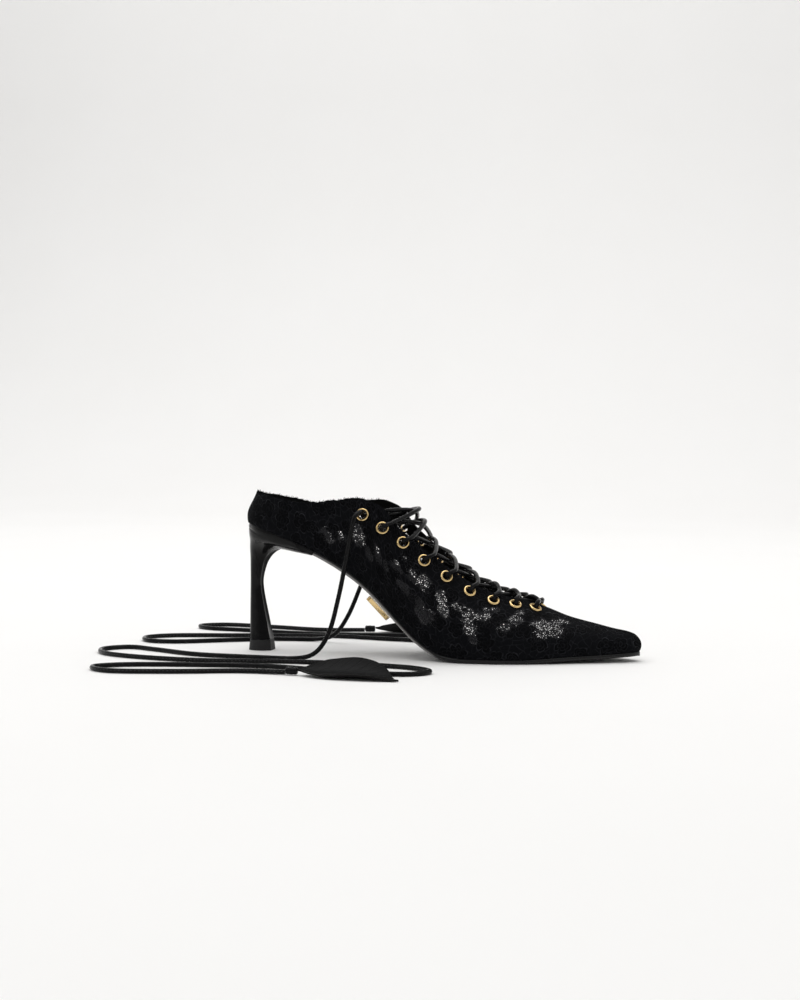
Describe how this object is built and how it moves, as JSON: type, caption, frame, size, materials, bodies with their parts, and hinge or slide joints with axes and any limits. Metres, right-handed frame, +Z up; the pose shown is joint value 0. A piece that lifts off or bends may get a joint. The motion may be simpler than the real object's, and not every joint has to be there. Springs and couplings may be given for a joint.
{
  "type": "lace up heel",
  "caption": "Pointed court shoe with a sculpted high heel, lace-cloth upper open along the throat, cord laced crosswise through metal eyelets and long ties ending in leather leaves.",
  "frame": {"origin": "on the floor, midway along and across the shoe", "axes": "+X to the toe, +Y to the inner (medial) side, +Z up"},
  "size_m": [0.3345, 0.2491, 0.1007],
  "materials": {
    "lace_cloth": "black floral lace with velvety petals over a sheer net",
    "lining": "smooth black lining",
    "sole_leather": "black, lightly polished",
    "gloss_black": "high gloss black",
    "dark_rubber": "matte dark grey",
    "pale_gold": "polished pale gold",
    "cord": "glossy black rolled cord",
    "leaf_leather": "matte black"
  },
  "bodies": {
    "root": {"upper": "lace_cloth", "insole": "lining", "outsole": "sole_leather", "heel": "gloss_black", "heel_top_piece": "dark_rubber", "sole_plate": "pale_gold", "eyelet_lateral_1": "pale_gold", "eyelet_lateral_2": "pale_gold", "eyelet_lateral_3": "pale_gold", "eyelet_lateral_4": "pale_gold", "eyelet_lateral_5": "pale_gold", "eyelet_lateral_6": "pale_gold", "eyelet_lateral_7": "pale_gold", "eyelet_lateral_8": "pale_gold", "eyelet_lateral_9": "pale_gold", "eyelet_medial_1": "pale_gold", "eyelet_medial_2": "pale_gold", "eyelet_medial_3": "pale_gold", "eyelet_medial_4": "pale_gold", "eyelet_medial_5": "pale_gold", "eyelet_medial_6": "pale_gold", "eyelet_medial_7": "pale_gold", "eyelet_medial_8": "pale_gold", "eyelet_medial_9": "pale_gold", "lace_crossing_1": "cord", "lace_crossing_2": "cord", "lace_crossing_3": "cord", "lace_crossing_4": "cord", "lace_crossing_5": "cord", "lace_crossing_6": "cord", "lace_crossing_7": "cord", "lace_crossing_8": "cord", "lace_bar": "cord", "tie_lateral": "cord", "leaf_cap_lateral": "cord", "leaf_lateral": "leaf_leather", "tie_medial": "cord", "leaf_cap_medial": "cord", "leaf_medial": "leaf_leather"}
  },
  "joints": []
}
